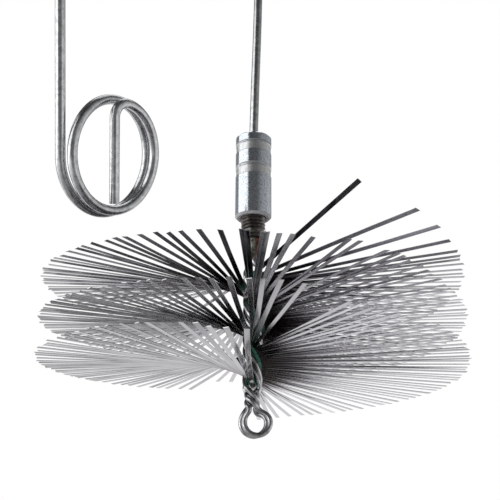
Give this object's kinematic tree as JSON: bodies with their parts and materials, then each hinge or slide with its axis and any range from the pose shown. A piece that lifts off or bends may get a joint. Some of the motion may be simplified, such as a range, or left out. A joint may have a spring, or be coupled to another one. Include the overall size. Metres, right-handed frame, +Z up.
{
  "type": "chimney sweep brush",
  "caption": "Round wire chimney sweep brush with a twisted core and eye, screwed into a crimped ferrule on a coiled springy rod wire that ends in a bent ring handle.",
  "frame": {"origin": "on the brush's axis, at the place on the rod wire above the ferrule where the rod is held", "axes": "+Z up along the brush's axis from the brush to the rod, -Y the side the brush is seen from, +X to that side's right"},
  "size_m": [0.1999, 0.2148, 0.3566],
  "materials": {
    "rod_wire": "galvanised spring wire, dull grey",
    "handle_wire": "galvanised spring wire, dull grey",
    "ferrule_steel": "polished plating with two matte rolled crimps",
    "bush_metal": "plain",
    "tie_plastic": "matte black",
    "stud_steel": "dark bronze-brown thread",
    "braze": "reddish-brown braze, uneven",
    "core_steel": "bright drawn wire",
    "strip_plastic": "dark green strip",
    "bristle_steel": "flat spring-steel wire, charcoal"
  },
  "bodies": {
    "rod": {"wire_end": "rod_wire", "crimp_bush": "bush_metal", "ferrule": "ferrule_steel", "wire_brush_side": "rod_wire", "wire_coil": "rod_wire", "wire_handle_side": "rod_wire", "coil_tie_1": "tie_plastic", "coil_tie_2": "tie_plastic", "coil_tie_3": "tie_plastic", "ring_handle": "handle_wire"},
    "collar": {"braze_collar": "braze"},
    "brush": {"threaded_stud": "stud_steel", "core_wire_a": "core_steel", "core_wire_b": "core_steel", "filler_strip_a": "strip_plastic", "filler_strip_b": "strip_plastic", "bristles_1": "bristle_steel", "bristles_2": "bristle_steel", "bristles_3": "bristle_steel", "bristles_4": "bristle_steel", "bristles_5": "bristle_steel", "bristles_6": "bristle_steel", "bristles_7": "bristle_steel", "bristles_8": "bristle_steel"}
  },
  "joints": [
    {"name": "brush_travel", "type": "slide", "parent": "rod", "child": "collar", "axis": [0, 0, -1], "range_m": [0, 0.0123]},
    {"name": "brush_turn", "type": "hinge", "parent": "collar", "child": "brush", "pos_m": [0, 0, -0.1392], "axis": [0, 0, -1], "range_deg": [0, 2520]}
  ],
  "couplings": [
    {"joint": "brush_travel", "follows": "brush_turn", "m_per_rad": 0.00027852}
  ]
}
